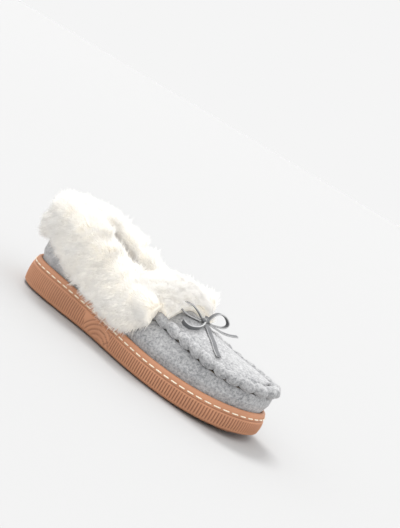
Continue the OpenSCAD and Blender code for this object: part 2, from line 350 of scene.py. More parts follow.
def closed_sheet(name, outer, inner):
    """A closed shell between two grids of the same shape, joined along their edges."""
    n, m = outer.shape[:2]
    ring = np.concatenate([outer, inner[:, ::-1]], axis=1)
    j = np.arange(m - 1)
    first = np.stack([j, j + 1, 2 * m - 2 - j, 2 * m - 1 - j], -1)
    last = (n - 1) * 2 * m + first[:, ::-1]
    faces = np.concatenate([grid_faces(n, 2 * m, wrap_m=True), first, last])
    return outward(new_mesh(name, ring, faces))


def tube(name, rings):
    """A closed tube through rings of points, each end shut by a fan to its middle."""
    n, m = rings.shape[:2]
    points = np.concatenate([rings.reshape(-1, 3), rings[0].mean(0)[None], rings[-1].mean(0)[None]])
    j = np.arange(m)
    k = (j + 1) % m
    first = np.stack([j, k, np.full(m, n * m)], -1)
    last = np.stack([(n - 1) * m + k, (n - 1) * m + j, np.full(m, n * m + 1)], -1)
    return outward(new_mesh(name, points, [grid_faces(n, m, False, True), np.concatenate([first, last])]))


def place(obj, slot, material, *nodes):
    """The piece rides on the slipper, takes its material, and stands for the named CAD nodes. Its slot is not
    used.
    """
    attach(obj, body_of_nodes(nodes))
    obj.data.materials.clear()
    obj.data.materials.append(material)
    if nodes:
        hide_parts(*nodes)
    return obj


def body_of_nodes(nodes):
    """The CAD body that the first named node is on, or the root."""
    groups = (frame["record"].get("behaviour") or {}).get("bodies") or {}
    for body, members in groups.items():
        if nodes and nodes[0] in members:
            return body
    return "slipper" if groups else "root"


# ---------------------------------------------------------------- materials
def emptied(owner):
    """Clears the node tree of a material or world, and gives the function that adds a node to it. A setting's
    key is a property's name, or the name or number of a socket. A link's key is a socket's name, or i and its
    number."""
    owner.use_nodes = True
    tree = owner.node_tree
    tree.nodes.clear()

    def add(kind, settings=None, **links):
        node = tree.nodes.new(kind)
        for key, value in (settings or {}).items():
            if isinstance(key, int) or key in node.inputs:
                node.inputs[key].default_value = value
            else:
                setattr(node, key, value)
        for key, source in links.items():
            socket = int(key[1:]) if key[1:].isdigit() else key.replace("_", " ")
            tree.links.new(source, node.inputs[socket])
        return node

    return add


def material(name):
    """An empty node material and the function that adds a node to it."""
    mat = bpy.data.materials.new(name)
    return mat, emptied(mat)


def colours_ramp(node, stops):
    """Sets the stops of a colour ramp: pairs of place and linear colour."""
    ramp_data = node.color_ramp
    while len(ramp_data.elements) < len(stops):
        ramp_data.elements.new(0.5)
    for element, (where, value) in zip(ramp_data.elements, stops):
        element.position = where
        element.color = rgba(value)


def rgba(value):
    """A linear colour with full cover."""
    return (*value, 1)


def rubber_material(c):
    """Moulded gum rubber: matt, slightly warm where it is thin, with painted shade in the grooves between the
    ribs.
    """
    mat, add = material("moulded_gum_rubber")
    where = add("ShaderNodeTexCoord")
    cloud = add("ShaderNodeTexNoise", {"Scale": 1 / 0.022, "Detail": 3.0}, Vector=where.outputs["Object"])
    grain = add("ShaderNodeTexNoise", {"Scale": 1 / 0.0009, "Detail": 2.0}, Vector=where.outputs["Object"])
    attribute = add("ShaderNodeAttribute", {"attribute_name": "groove"})
    tone = add("ShaderNodeValToRGB", None, Fac=cloud.outputs["Fac"])
    colours_ramp(tone, [(0.3, [v * 0.93 for v in c.rubber]), (0.7, [min(1, v * 1.06) for v in c.rubber])])
    # painted shade: the groove attribute draws the rubber towards the darker groove colour
    blend = add("ShaderNodeMix", {"data_type": "RGBA", 7: rgba(c.rubber_groove_shade)},
                i0=attribute.outputs["Fac"], i6=tone.outputs["Color"])
    bump = add("ShaderNodeBump", {"Strength": 0.25, "Distance": 0.0002}, Height=grain.outputs["Fac"])
    shader = add("ShaderNodeBsdfPrincipled", {"Roughness": 0.62, "IOR": 1.5, "Specular IOR Level": 0.4},
                 Base_Color=blend.outputs[2], Normal=bump.outputs["Normal"])
    add("ShaderNodeOutputMaterial", None, Surface=shader.outputs[0])
    return mat


def felt_material(c):
    """Heathered wool felt: fibres of several greys about 1 mm long, drawn as speckles, with a soft nap."""
    mat, add = material("heathered_wool_felt")
    where = add("ShaderNodeTexCoord")
    speck = add("ShaderNodeTexNoise", {"Scale": 1 / 0.0021, "Detail": 4.0, "Roughness": 0.72},
                Vector=where.outputs["Object"])
    patch = add("ShaderNodeTexNoise", {"Scale": 1 / 0.016, "Detail": 2.0}, Vector=where.outputs["Object"])
    # a fifth of the patches is added to the specks, so the heather clouds a little
    both = add("ShaderNodeMath", {"operation": "MULTIPLY_ADD", 1: 0.22},
               i0=patch.outputs["Fac"], i2=speck.outputs["Fac"])
    tone = add("ShaderNodeValToRGB", None, Fac=both.outputs[0])
    colours_ramp(tone, [(0.44, c.felt_dark), (0.6, c.felt), (0.8, c.felt_light)])
    fibre = add("ShaderNodeTexNoise",
                {"Scale": 1 / 0.0011, "Detail": 5.0, "Roughness": 0.7, "Distortion": 1.2},
                Vector=where.outputs["Object"])
    bump = add("ShaderNodeBump", {"Strength": 0.8, "Distance": 0.0006}, Height=fibre.outputs["Fac"])
    shader = add("ShaderNodeBsdfPrincipled",
                 {"Roughness": 0.95, "Specular IOR Level": 0.15,
                  "Sheen Weight": 0.35, "Sheen Roughness": 0.6},
                 Base_Color=tone.outputs["Color"], Normal=bump.outputs["Normal"])
    add("ShaderNodeOutputMaterial", None, Surface=shader.outputs[0])
    return mat


def fur_material(c):
    """Long acrylic pile: nearly white, very matt, its roots a little warmer and with painted shade. Half the
    light goes through a tuft. A weak glow is painted light, which lightens the shade among the fine fibres."""
    mat, add = material("long_acrylic_pile")
    along = add("ShaderNodeAttribute", {"attribute_name": "along"})
    where = add("ShaderNodeTexCoord")
    cloud = add("ShaderNodeTexNoise", {"Scale": 1 / 0.012, "Detail": 2.0}, Vector=where.outputs["Object"])
    # painted shade: the roots, and the core at 0.35, are mixed towards the darker root colour
    root = add("ShaderNodeMix", {"data_type": "RGBA", 6: rgba(c.fur_root_warmth_and_shade), 7: rgba(c.fur)},
               i0=along.outputs["Fac"])
    warm = add("ShaderNodeValToRGB", None, Fac=cloud.outputs["Fac"])
    colours_ramp(warm, [(0.35, (0.965, 0.95, 0.925)), (0.6, (1, 1, 1))])
    tone = add("ShaderNodeMix", {"data_type": "RGBA", "blend_type": "MULTIPLY", 0: 0.5},
               i6=root.outputs[2], i7=warm.outputs["Color"])
    # painted light: the emission makes the fur glow, which lightens its shade
    shader = add("ShaderNodeBsdfPrincipled",
                 {"Roughness": 0.9, "Specular IOR Level": 0.15, "Sheen Weight": 0.25, "Sheen Roughness": 0.5,
                  "Emission Color": rgba(c.fur), "Emission Strength": 0.27},
                 Base_Color=tone.outputs[2])
    through = add("ShaderNodeBsdfTranslucent", None, Color=tone.outputs[2])
    both = add("ShaderNodeMixShader", {0: 0.5}, i1=shader.outputs[0], i2=through.outputs[0])
    add("ShaderNodeOutputMaterial", None, Surface=both.outputs[0])
    return mat


def fleece_material(c):
    """Short tan fleece: curly pile a few millimetres deep, drawn as lumps about 2.5 mm wide."""
    mat, add = material("short_tan_fleece")
    where = add("ShaderNodeTexCoord")
    curl = add("ShaderNodeTexNoise", {"Scale": 1 / 0.0028, "Detail": 3.0, "Distortion": 0.8},
               Vector=where.outputs["Object"])
    tone = add("ShaderNodeValToRGB", None, Fac=curl.outputs["Fac"])
    colours_ramp(tone, [(0.35, [v * 0.78 for v in c.fleece]), (0.62, [min(1, v * 1.12) for v in c.fleece])])
    bump = add("ShaderNodeBump", {"Strength": 0.9, "Distance": 0.0015}, Height=curl.outputs["Fac"])
    shader = add("ShaderNodeBsdfPrincipled",
                 {"Roughness": 0.95, "Specular IOR Level": 0.1, "Sheen Weight": 0.3},
                 Base_Color=tone.outputs["Color"], Normal=bump.outputs["Normal"])
    add("ShaderNodeOutputMaterial", None, Surface=shader.outputs[0])
    return mat


def thread_material(name, value):
    """Twisted thread: fine diagonal ply, a slight wax gloss."""
    mat, add = material(name)
    where = add("ShaderNodeTexCoord")
    ply = add("ShaderNodeTexWave", {"Scale": 1 / 0.004, "Distortion": 1.0, "bands_direction": "DIAGONAL"},
              Vector=where.outputs["Object"])
    tone = add("ShaderNodeValToRGB", None, Fac=ply.outputs["Fac"])
    colours_ramp(tone, [(0.2, [v * 0.86 for v in value]), (0.8, value)])
    bump = add("ShaderNodeBump", {"Strength": 0.4, "Distance": 0.0002}, Height=ply.outputs["Fac"])
    shader = add("ShaderNodeBsdfPrincipled", {"Roughness": 0.6, "Specular IOR Level": 0.3},
                 Base_Color=tone.outputs["Color"], Normal=bump.outputs["Normal"])
    add("ShaderNodeOutputMaterial", None, Surface=shader.outputs[0])
    return mat


def suede_material(c):
    """Split suede cut into a lace: napped faces, paler where the knife cut the edges."""
    mat, add = material("cut_suede_lace")
    where = add("ShaderNodeTexCoord")
    edge = add("ShaderNodeAttribute", {"attribute_name": "edge"})
    nap = add("ShaderNodeTexNoise", {"Scale": 1 / 0.0012, "Detail": 4.0}, Vector=where.outputs["Object"])
    tone = add("ShaderNodeValToRGB", None, Fac=nap.outputs["Fac"])
    colours_ramp(tone, [(0.3, [v * 0.8 for v in c.lace]), (0.7, [min(1, v * 1.15) for v in c.lace])])
    blend = add("ShaderNodeMix", {"data_type": "RGBA", 7: rgba(c.lace_edge)},
                i0=edge.outputs["Fac"], i6=tone.outputs["Color"])
    bump = add("ShaderNodeBump", {"Strength": 0.5, "Distance": 0.0003}, Height=nap.outputs["Fac"])
    shader = add("ShaderNodeBsdfPrincipled",
                 {"Roughness": 0.9, "Specular IOR Level": 0.2, "Sheen Weight": 0.3, "Sheen Roughness": 0.5},
                 Base_Color=blend.outputs[2], Normal=bump.outputs["Normal"])
    add("ShaderNodeOutputMaterial", None, Surface=shader.outputs[0])
    return mat


def plain_material(name, value, cell, rough):
    """A hidden layer's material: one colour with a grain of the given size in metres."""
    mat, add = material(name)
    where = add("ShaderNodeTexCoord")
    grain = add("ShaderNodeTexNoise", {"Scale": 1 / cell, "Detail": 3.0}, Vector=where.outputs["Object"])
    tone = add("ShaderNodeValToRGB", None, Fac=grain.outputs["Fac"])
    colours_ramp(tone, [(0.3, [v * 0.85 for v in value]), (0.7, value)])
    bump = add("ShaderNodeBump", {"Strength": 0.4, "Distance": 0.0003}, Height=grain.outputs["Fac"])
    shader = add("ShaderNodeBsdfPrincipled", {"Roughness": rough}, Base_Color=tone.outputs["Color"],
                 Normal=bump.outputs["Normal"])
    add("ShaderNodeOutputMaterial", None, Surface=shader.outputs[0])
    return mat


def shared(name, make, *args):
    """The material of that name, made once."""
    return bpy.data.materials.get(name) or make(*args)


def float_attribute(obj, name, values):
    """Writes one number a vertex, which a material reads by name."""
    layer = obj.data.attributes.new(name, "FLOAT", "POINT")
    layer.data.foreach_set("value", np.asarray(values, np.float32).ravel())


# ---------------------------------------------------------------- sole
POINTS_PER_RIB = 5
PANEL_X = 18.0            # the plain side panel's distance behind the sole's middle, and half its length
PANEL_HALF = 19.0
ARC_RADII = (9.0, 13.0, 17.0, 21.0, 25.0)
TREAD_IN = 5.4            # inset of the tread from the outline
TREAD_END = 0.972         # part of the sole's length that the tread covers
BAR_PITCH = 7.0           # distance between two wavy bars of the tread
BAR_DEPTH = 1.1


def rib_wave(distance, pitch):
    """0 on a rib's crown and 1 at the bottom of a groove: rounded ribs with narrow grooves."""
    return np.abs(np.cos(np.pi * distance / pitch)) ** 5


def across_faces(n):
    """Faces across a ring of n points that mirrors itself: four-sided strips between points i and n - i, and
    a triangle at each tip."""
    i = np.arange(1, (n - 1) // 2)
    strips = np.stack([i, i + 1, n - i - 1, n - i], -1)
    tips = [[0, 1, n - 1]]
    if n % 2 == 0:
        tips.append([n // 2 - 1, n // 2, n // 2 + 1])
    return strips, np.array(tips)


def side_panel(x, h):
    """The plain panel at the outer side's waist, at x along the shoe and h up the wall: 1 inside a leaning
    band and 0 outside it, and the depth of its engraved arcs and slanting line, which are bell curves."""
    along = x + PANEL_X
    inside = smooth((PANEL_HALF - np.abs(along + 0.5 * (h - 10))) / 1.6)
    reach = np.hypot(along - 6, h + 6)
    arcs = sum(np.exp(-((reach - radius) / 0.55) ** 2) for radius in ARC_RADII)
    slant = np.exp(-(np.abs(along - 6 - 0.9 * (h + 6)) / 0.6) ** 2) * (reach < ARC_RADII[-1])
    return inside, np.clip(arcs + slant, 0, 1)


class SLIPPER_OT_sole(bpy.types.Operator):
    """Rubber cup sole: a profile of inset and height carried round the outline, with upright ribs in it"""
    bl_idname = "slipper.sole"
    bl_label = "Cup sole"

    def execute(self, context):
        size = context.scene.slipper_sizes
        c = context.scene.slipper_colours
        line = lambda a: at(a, 0.0, 10.0)
        ribs = int(round(even_angles(line, 0, 360, 3)[1] / size.rib_pitch))
        n = ribs * POINTS_PER_RIB
        a, total = even_angles(line, 0, 360, n, closed=True)
        s = np.arange(n) * total / n
        x = station_x(a)
        b = lift(x)
        r = rim_z(x)
        # the ribbed wall
        t = np.linspace(0, 1, 13)
        wall_h = mix((b + 3.2)[:, None], (r - 7.6)[:, None], t)
        belly = 1.1 * (1 - np.sin(np.pi * mix(0.12, 0.8, t)))
        faded = smooth(t / 0.12) * smooth((1 - t) / 0.1)
        panel, mark = side_panel(x[:, None], wall_h - b[:, None] - 1.0)
        panel = panel * (np.sin(np.radians(a)) < 0)[:, None]
        ribbed = rib_wave(s, total / ribs)[:, None] * (1 - panel)
        groove = np.clip(ribbed + panel * mark * 0.8, 0, 1) * faded
        wall_inset = belly + size.rib_depth * groove
        # rows below the wall, and above it: stitch land, rim, and down inside the cup
        foot = [(6.0, b + 0.9), (3.0, b + 1.2), (1.5, b + 2.2)]
        top = [(1.3, r - 7.1), (1.9, r - 6.6), (1.35, r - 6.1), (1.45, r - 5.2), (1.55, r - 4.3),
               (1.65, r - 3.4), (1.8, r - 2.2), (2.2, r - 1.0), (3.0, r - 0.25), (3.9, r), (4.7, r - 0.1),
               (5.4, r - 0.5), (5.7, r - 1.4), (7.0, r - 6), (9.0, b + TREAD_T)]
        rows = [at(a, inset, z) for inset, z in foot]
        rows += [at(a, wall_inset[:, j], wall_h[:, j]) for j in range(len(t))]
        rows += [at(a, inset, z) for inset, z in top]
        grid = np.stack(rows, 1)
        m = grid.shape[1]
        # faces across close the underside and the cup's floor
        strips, tips = across_faces(n)
        faces = [np.concatenate([grid_faces(n, m, True), strips[:, ::-1] * m, strips * m + m - 1]),
                 np.concatenate([tips[:, ::-1] * m, tips * m + m - 1])]
        obj = outward(new_mesh("cup_sole", grid, faces))
        shade = np.zeros((n, m))
        # painted shade in the grooves between the ribs and in the panel's engraved marks
        shade[:, len(foot):len(foot) + len(t)] = groove * 0.85
        # the crease over the wall is in shade
        shade[:, len(foot) + len(t) + 1] = 0.7
        float_attribute(obj, "groove", shade)
        place(obj, "outsole_rubber", shared("moulded_gum_rubber", rubber_material, c), "outsole")
        make_tread(c)
        return {"FINISHED"}


def make_tread(c):
    """Tread: a sheet over the underside, whose height is a row of bars on a sine wave, with smooth sides. The
    bars are flat on the floor."""
    u = np.linspace(-TREAD_END, TREAD_END, 300)[:, None]
    t = np.linspace(-1, 1, 61)[None, :]
    angle = np.degrees(np.arccos(u))
    x, y1 = outline(angle, TREAD_IN)
    y = mix(outline(-angle, TREAD_IN)[1], y1, (t + 1) / 2)
    x = np.broadcast_to(x, y.shape)
    wave = (x + 3.5 * np.cos(2 * np.pi * y / 26)) / BAR_PITCH
    bar = smooth((0.36 - np.abs(wave - np.round(wave))) / 0.07)
    edge = smooth((1 - np.abs(t)) / 0.08) * smooth((TREAD_END - np.abs(u)) / 0.02)
    depth = BAR_DEPTH * (1 - bar * edge)
    outer = np.stack([x, y, lift(x) + depth], -1)
    inner = np.stack([x, y, lift(x) + 2.0], -1)
    obj = closed_sheet("sole_tread", outer, inner)
    # painted shade in the hollows between the tread's bars
    shade = np.concatenate([depth, np.zeros_like(bar)], 1) * 0.6
    float_attribute(obj, "groove", np.clip(shade, 0, 1))
    place(obj, "outsole_rubber", shared("moulded_gum_rubber", rubber_material, c))


CAPSULE_RINGS = 9
CAPSULE_SIDES = 8


def capsules(name, start, end, bow, width, height, out):
    """One mesh of many bent capsules from start to end: each is a row of rings whose radius closes at both
    ends, and whose middle is lifted along out by a sine of height bow."""
    n = len(start)
    k, m = CAPSULE_RINGS, CAPSULE_SIDES
    t = np.linspace(0, 1, k)
    round_end = np.clip(np.sqrt(1 - np.abs(2 * t - 1) ** 5), 0.06, 1)
    axis = end - start
    axis = axis / np.linalg.norm(axis, axis=1, keepdims=True)
    side = np.cross(axis, out)
    side /= np.linalg.norm(side, axis=1, keepdims=True)
    up = np.cross(side, axis)
    f = np.linspace(0, 2 * np.pi, m, endpoint=False)
    mid = start[:, None] + (end - start)[:, None] * t[None, :, None]
    mid = mid + out[:, None] * (bow * np.sin(np.pi * t))[None, :, None]
    rim = (side[:, None, None] * np.cos(f)[None, None, :, None] * width / 2
           + up[:, None, None] * np.sin(f)[None, None, :, None] * height / 2)
    rings = mid[:, :, None] + rim * round_end[None, :, None, None]
    one = grid_faces(k, m, False, True)
    caps = np.array([list(range(m)), [k * m - 1 - j for j in range(m)]])
    offset = (np.arange(n) * k * m)[:, None, None]
    faces = [(one[None] + offset).reshape(-1, 4), (caps[None] + offset).reshape(-1, m)]
    return outward(new_mesh(name, rings, faces))


class SLIPPER_OT_sole_thread(bpy.types.Operator):
    """Sole stitches: capsules at even distances along a line under the rim, bedded into the rubber"""
    bl_idname = "slipper.sole_thread"
    bl_label = "Sole stitches"

    def execute(self, context):
        size = context.scene.slipper_sizes
        c = context.scene.slipper_colours
        line = lambda a: at(a, 1.2, rim_z(station_x(a)) - LINE_DROP)
        fine = np.linspace(0, 360, 2881)
        s = distance_along(line(fine))
        count = int(s[-1] // size.stitch_pitch)
        middle = (np.arange(count) + 0.5) * s[-1] / count
        rng = np.random.default_rng(3)
        length = size.stitch_len * rng.uniform(0.94, 1.04, count)
        a0 = np.interp(middle - length / 2, s, fine)
        a1 = np.interp(middle + length / 2, s, fine)
        start = line(a0)
        end = line(a1)
        along = end - start
        out = np.stack([along[:, 1], -along[:, 0], np.zeros(count)], -1)
        out /= np.linalg.norm(out, axis=1, keepdims=True)
        obj = capsules("sole_thread", start, end, 0.35, 1.15, 1.2, out)
        cream = thread_material("waxed_cream_thread", c.thread)
        place(obj, "sole_thread", cream, "sole_stitches")
        return {"FINISHED"}


# ---------------------------------------------------------------- felt
def pleats(a, v, pitch):
    """Inset added by the gathers: soft upright folds just under the top edge, fading down the wall."""
    fine = np.linspace(-SEAM_A, SEAM_A, 1441)
    s = distance_along(seam_line(fine))
    gathers = round(s[-1] / pitch)
    phase = np.interp(a, fine, s) / s[-1] * gathers
    inside = smooth((SEAM_A - np.abs(a)) / 3)
    return inside * (0.95 * np.abs(np.cos(np.pi * phase)) ** 2.2 * np.exp(-(2 - v) / 0.16)
                     + 0.25 * np.cos(2 * np.pi * phase + 1.0) * np.exp(-(2 - v) / 0.45))


def felt_shell(name, low, high, n, pitch):
    """Felt wall: the upper's outer surface over angles low to high, with slow waves and upright folds."""
    a = np.linspace(low, high, n)[:, None]
    v = np.concatenate([np.linspace(0.3, 1, 8), np.linspace(1, 2, 34)[1:]])[None, :]
    inset, z = wall_point(a, v)
    a2 = np.broadcast_to(a, inset.shape)
    points = at(a2, inset, z)
    soft = 0.35 * noise(points, 34, 5) * ramp(v, 1, 1.3) + pleats(a2, v, pitch)
    return closed_sheet(name, at(a2, inset + soft, z), at(a2, inset + FELT_T + soft * 0.4, z))


class SLIPPER_OT_felt(bpy.types.Operator):
    """Felt upper: wrap and two quarters as walls that follow the outline, and the crowned top panel"""
    bl_idname = "slipper.felt"
    bl_label = "Felt upper"

    def execute(self, context):
        size = context.scene.slipper_sizes
        felt = shared("heathered_wool_felt", felt_material, context.scene.slipper_colours)
        pitch = size.gather_pitch
        for name, low, high, n, node in (
                ("felt_wrap", -THROAT_A, THROAT_A, 640, "vamp_wrap"),
                ("felt_quarter_lateral", -BACK_A, -THROAT_A, 220, "quarter_lateral"),
                ("felt_quarter_medial", THROAT_A, BACK_A, 220, "quarter_medial")):
            place(felt_shell(name, low, high, n, pitch), "felt", felt, node)
        a = np.linspace(THROAT_A, 5.0, 200)[:, None]
        t = np.linspace(1, -1, 90)[None, :]
        inset = seam_in(station_x(a)) + 3.6
        top = roof_point(a, t, inset, 0.0)
        edge = np.exp(-(1 - np.abs(t)) / 0.1)
        tuck = np.abs(np.sin(top[..., 0] * np.pi / pitch + 2 * np.sign(t)))
        top[..., 2] += 0.35 * noise(top, 30, 6) - 0.5 * edge * tuck
        under = roof_point(a, t, inset, -FELT_T)
        place(closed_sheet("top_panel", top, under), "felt", felt, "plug")
        return {"FINISHED"}


GATHER_RINGS = 26         # rings of points in one gather of the roll
GATHER_R = 6.2            # the roll's radius at a gather's middle, and in the gap between two
GAP_R = 3.1
THREAD_REACH = 2.6        # half the length of the thread that crosses a gap


class SLIPPER_OT_gathers(bpy.types.Operator):
    """Gathered edge: a roll along the seam whose radius swells once a gather, and slants round the roll"""
    bl_idname = "slipper.gathers"
    bl_label = "Gathered edge"

    def execute(self, context):
        size = context.scene.slipper_sizes
        felt = shared("heathered_wool_felt", felt_material, context.scene.slipper_colours)
        end_a = SEAM_A + 3
        total = even_angles(seam_line, -end_a, end_a, 3)[1]
        gathers = int(round(total / size.gather_pitch))
        n = gathers * GATHER_RINGS
        a, _ = even_angles(seam_line, -end_a, end_a, n)
        f = np.linspace(0, 2 * np.pi, 36, endpoint=False)[None, :]
        i = np.arange(n)[:, None] / GATHER_RINGS
        rng = np.random.default_rng(11)
        jitter = np.interp(i[:, 0], np.arange(gathers + 2), rng.uniform(-0.1, 0.1, gathers + 2))[:, None]
        phase = i + jitter + 0.11 * np.sin(f)
        swell = np.abs(np.sin(np.pi * phase)) ** 0.62
        grow = np.interp(i[:, 0], np.arange(gathers + 2), rng.uniform(0.9, 1.08, gathers + 2))[:, None]
        radius = mix(GAP_R, GATHER_R, swell) * grow
        # the fold's crease: a shallow furrow along each gather
        crease = np.sin(f - 0.9 - 0.5 * np.sin(2 * np.pi * phase))
        radius = radius - 0.45 * swell * np.exp(-(crease / 0.16) ** 2)
        x = station_x(a)[:, None]
        inset = seam_in(x) + 0.98 * radius * np.cos(f)
        z = seam_z(x) + 0.86 * radius * np.sin(f) - 0.2
        rings = at(np.broadcast_to(a[:, None], radius.shape), inset, z)
        rings = rings + 0.22 * noise(rings, 7, 8)[..., None]
        place(tube("gathered_roll", rings), "felt", felt, "gathered_edge")
        # thread between the gathers: short arcs bedded in the gaps, over the roll
        k = np.arange(1, gathers)
        a0 = np.interp(k * GATHER_RINGS, np.arange(n), a)
        x0 = station_x(a0)
        start = at(a0, seam_in(x0) + THREAD_REACH, seam_z(x0) + 1.0)
        end = at(a0, seam_in(x0) - THREAD_REACH, seam_z(x0) + 1.0)
        up = np.tile([0.0, 0.0, 1.0], (len(k), 1))
        obj = capsules("gather_thread", start, end, 1.7, 0.9, 0.9, up)
        grey = thread_material("grey_seam_thread", linear("808183"))
        place(obj, "seam_thread", grey, "gather_stitches")
        return {"FINISHED"}


# ---------------------------------------------------------------- lining and footbed
BED_IN = 11.5             # inset of the footbed's fleece, and the heights of its two faces
BED_TOP = 20.0
BED_BASE = 16.2
FLEECE_TUFTS = 5000
FLEECE_D = 1.1            # width of a fleece tuft


def lining_shell(name, low, high, n):
    """Fleece wall inside the felt: the outer surface set in by the felt and the stiffeners, lumpy inside."""
    a = np.linspace(low, high, n)[:, None]
    v = np.concatenate([[0.45, 0.75, 1.0], np.linspace(1, 2, 26)[1:]])[None, :]
    inset, z = wall_point(a, v)
    z = np.maximum(z, 20.3 + lift(station_x(a)))
    a2 = np.broadcast_to(a, inset.shape)
    inner = at(a2, inset + LINING_D + LINING_T, z)
    lump = 0.55 * noise(inner, 5, 21)
    return closed_sheet(name, at(a2, inset + LINING_D, z), at(a2, inset + LINING_D + LINING_T + lump, z))


class SLIPPER_OT_lining(bpy.types.Operator):
    """Fleece lining: walls inside the felt, a ceiling under the top panel and a footbed, all with pile"""
    bl_idname = "slipper.lining"
    bl_label = "Fleece lining"

    def execute(self, context):
        size = context.scene.slipper_sizes
        fleece = shared("short_tan_fleece", fleece_material, context.scene.slipper_colours)
        for name, low, high, n, node in (
                ("fleece_vamp", -THROAT_A, THROAT_A, 260, "vamp_lining"),
                ("fleece_lateral", -BACK_A, -THROAT_A, 200, "lining_lateral"),
                ("fleece_medial", THROAT_A, BACK_A, 200, "lining_medial")):
            place(lining_shell(name, low, high, n), "fleece", fleece, node)
        a = np.linspace(THROAT_A, 16.0, 130)[:, None]
        t = np.linspace(1, -1, 60)[None, :]
        inset = seam_in(station_x(a)) + 9.5
        above = roof_point(a, t, inset, -FELT_T - 0.2)
        under = roof_point(a, t, inset, -FELT_T - 0.2 - LINING_T)
        under[..., 2] += 0.5 * noise(under, 5, 22)
        place(closed_sheet("fleece_ceiling", above, under), "fleece", fleece, "plug_lining")
        u = np.linspace(-0.998, 0.998, 300)[:, None]
        angle = np.degrees(np.arccos(u))
        x, y1 = outline(angle, BED_IN)
        y = mix(outline(-angle, BED_IN)[1], y1, (np.linspace(-1, 1, 90)[None, :] + 1) / 2)
        x = np.broadcast_to(x, y.shape)
        top = np.stack([x, y, lift(x) + BED_TOP], -1)
        top[..., 2] += 0.4 * noise(top, 5, 23) - 0.4
        base = np.stack([x, y, lift(x) + BED_BASE], -1)
        place(closed_sheet("fleece_footbed", top, base), "fleece", fleece, "footbed_fleece")
        # short pile where the opening shows it
        rng = np.random.default_rng(31)
        count = FLEECE_TUFTS
        side = rng.choice([-1, 1], count)
        angle = side * rng.uniform(THROAT_A, BACK_A, count)
        v = rng.uniform(1.0, 1.86, count)
        inset, z = wall_point(angle, v)
        z = np.maximum(z, 21.0)
        root = at(angle, inset + LINING_D + LINING_T - 0.3, z)
        tip = at(angle, inset + LINING_D + LINING_T + 2.0, z + 0.2)
        obj = strands("fleece_pile_walls", root, tip - root, size.fleece_pile, FLEECE_D, rng, curl=0.9)
        place(obj, "fleece", fleece)
        pick = rng.uniform(size=(count, 2))
        angle = np.degrees(np.arccos(mix(-0.96, 0.1, pick[:, 0])))
        x, y1 = outline(angle, BED_IN + 1.0)
        y = mix(outline(-angle, BED_IN + 1.0)[1], y1, pick[:, 1])
        root = np.stack([x, y, lift(x) + BED_TOP - 0.6], -1)
        up = np.tile([0.0, 0.0, 1.0], (count, 1))
        obj = strands("fleece_pile_footbed", root, up, size.fleece_pile, FLEECE_D, rng, curl=0.9)
        place(obj, "fleece", fleece)
        return {"FINISHED"}


# ---------------------------------------------------------------- fur
def strands(name, root, direction, length, width, rng, curl=0.35, clump=None, pull=0.0):
    """Tapered three-sided strands in one mesh: each starts at root, runs along direction, and bends by a
    random curl and towards its clump's tip, by a quadratic curve. Two rings of three points, and the tip."""
    n = len(root)
    d = direction / np.linalg.norm(direction, axis=1, keepdims=True)
    reach = np.broadcast_to(length, (n,)) * rng.uniform(0.75, 1.15, n)
    wander = rng.normal(size=(n, 3)) * curl
    wander -= (wander * d).sum(1, keepdims=True) * d
    tip = root + (d + wander * 0.5) * reach[:, None]
    if clump is not None:
        tip = mix(tip, clump, pull)
    knee = root + d * (reach * 0.55)[:, None]
    t = np.array([0.0, 0.5])[None, :, None]
    path = (1 - t) ** 2 * root[:, None] + 2 * t * (1 - t) * knee[:, None] + t ** 2 * tip[:, None]
    side = np.cross(d, rng.normal(size=(n, 3)))
    side /= np.linalg.norm(side, axis=1, keepdims=True)
    other = np.cross(d, side)
    angles = np.arange(3) * 2 * np.pi / 3
    rim = side[:, None] * np.cos(angles)[None, :, None] + other[:, None] * np.sin(angles)[None, :, None]
    rings = path[:, :, None] + rim[:, None] * (width / 2)
    points = np.concatenate([rings.reshape(n, 6, 3), tip[:, None]], 1)
    walls = grid_faces(2, 3, False, True)
    ends = np.array([[0, 1, 2], [4, 3, 6], [5, 4, 6], [3, 5, 6]])
    offset = (np.arange(n) * 7)[:, None, None]
    faces = [(walls[None] + offset).reshape(-1, 4), (ends[None] + offset).reshape(-1, 3)]
    obj = outward(new_mesh(name, points, faces))
    float_attribute(obj, "along", np.tile([0.0, 0.0, 0.0, 0.7, 0.7, 0.7, 1.0], n))
    return obj


FUR_PER_PIECE = 9000
FUR_CORE = 8.5            # depth of the collar's soft core, from which the drawn tufts stand up
TONGUE_CORE = 12.5        # the same on the tongue
TUFT_RISE = 4.0           # how far the tufts stand above the core at the crest
ROOT_DEPTH = 1.6          # how deep a tuft's root is sunk in the core
COLLAR_A = 79.0           # angle at which each side of the collar ends, towards the toe
TONGUE_A = (74.5, 97)     # angles between which the tongue's fur lies
SHARP = (0.7, 1.18)       # width and length of a fine tuft, as parts of a broad one's
# height of the collar's lower edge along the shoe
LOW_X = (-138, -118, -106, -89, -69, -47, -24, -7, 4, 12, 24, 33)
LOW_Z = (52, 59, 59, 50.5, 42, 37, 33, 31, 31.5, 36, 47, 58)
# height of the pile's crest along the shoe, on the two sides
CREST_X = (-135, -118, -100, -84, -65, -44, -31, -7, 5, 14, 30)
CREST_LATERAL = (88, 89, 88, 85.5, 79, 73, 70, 62.5, 63, 64, 64)
CREST_MEDIAL = (88, 89.5, 89, 86, 82, 77, 76, 77, 78, 78, 76)


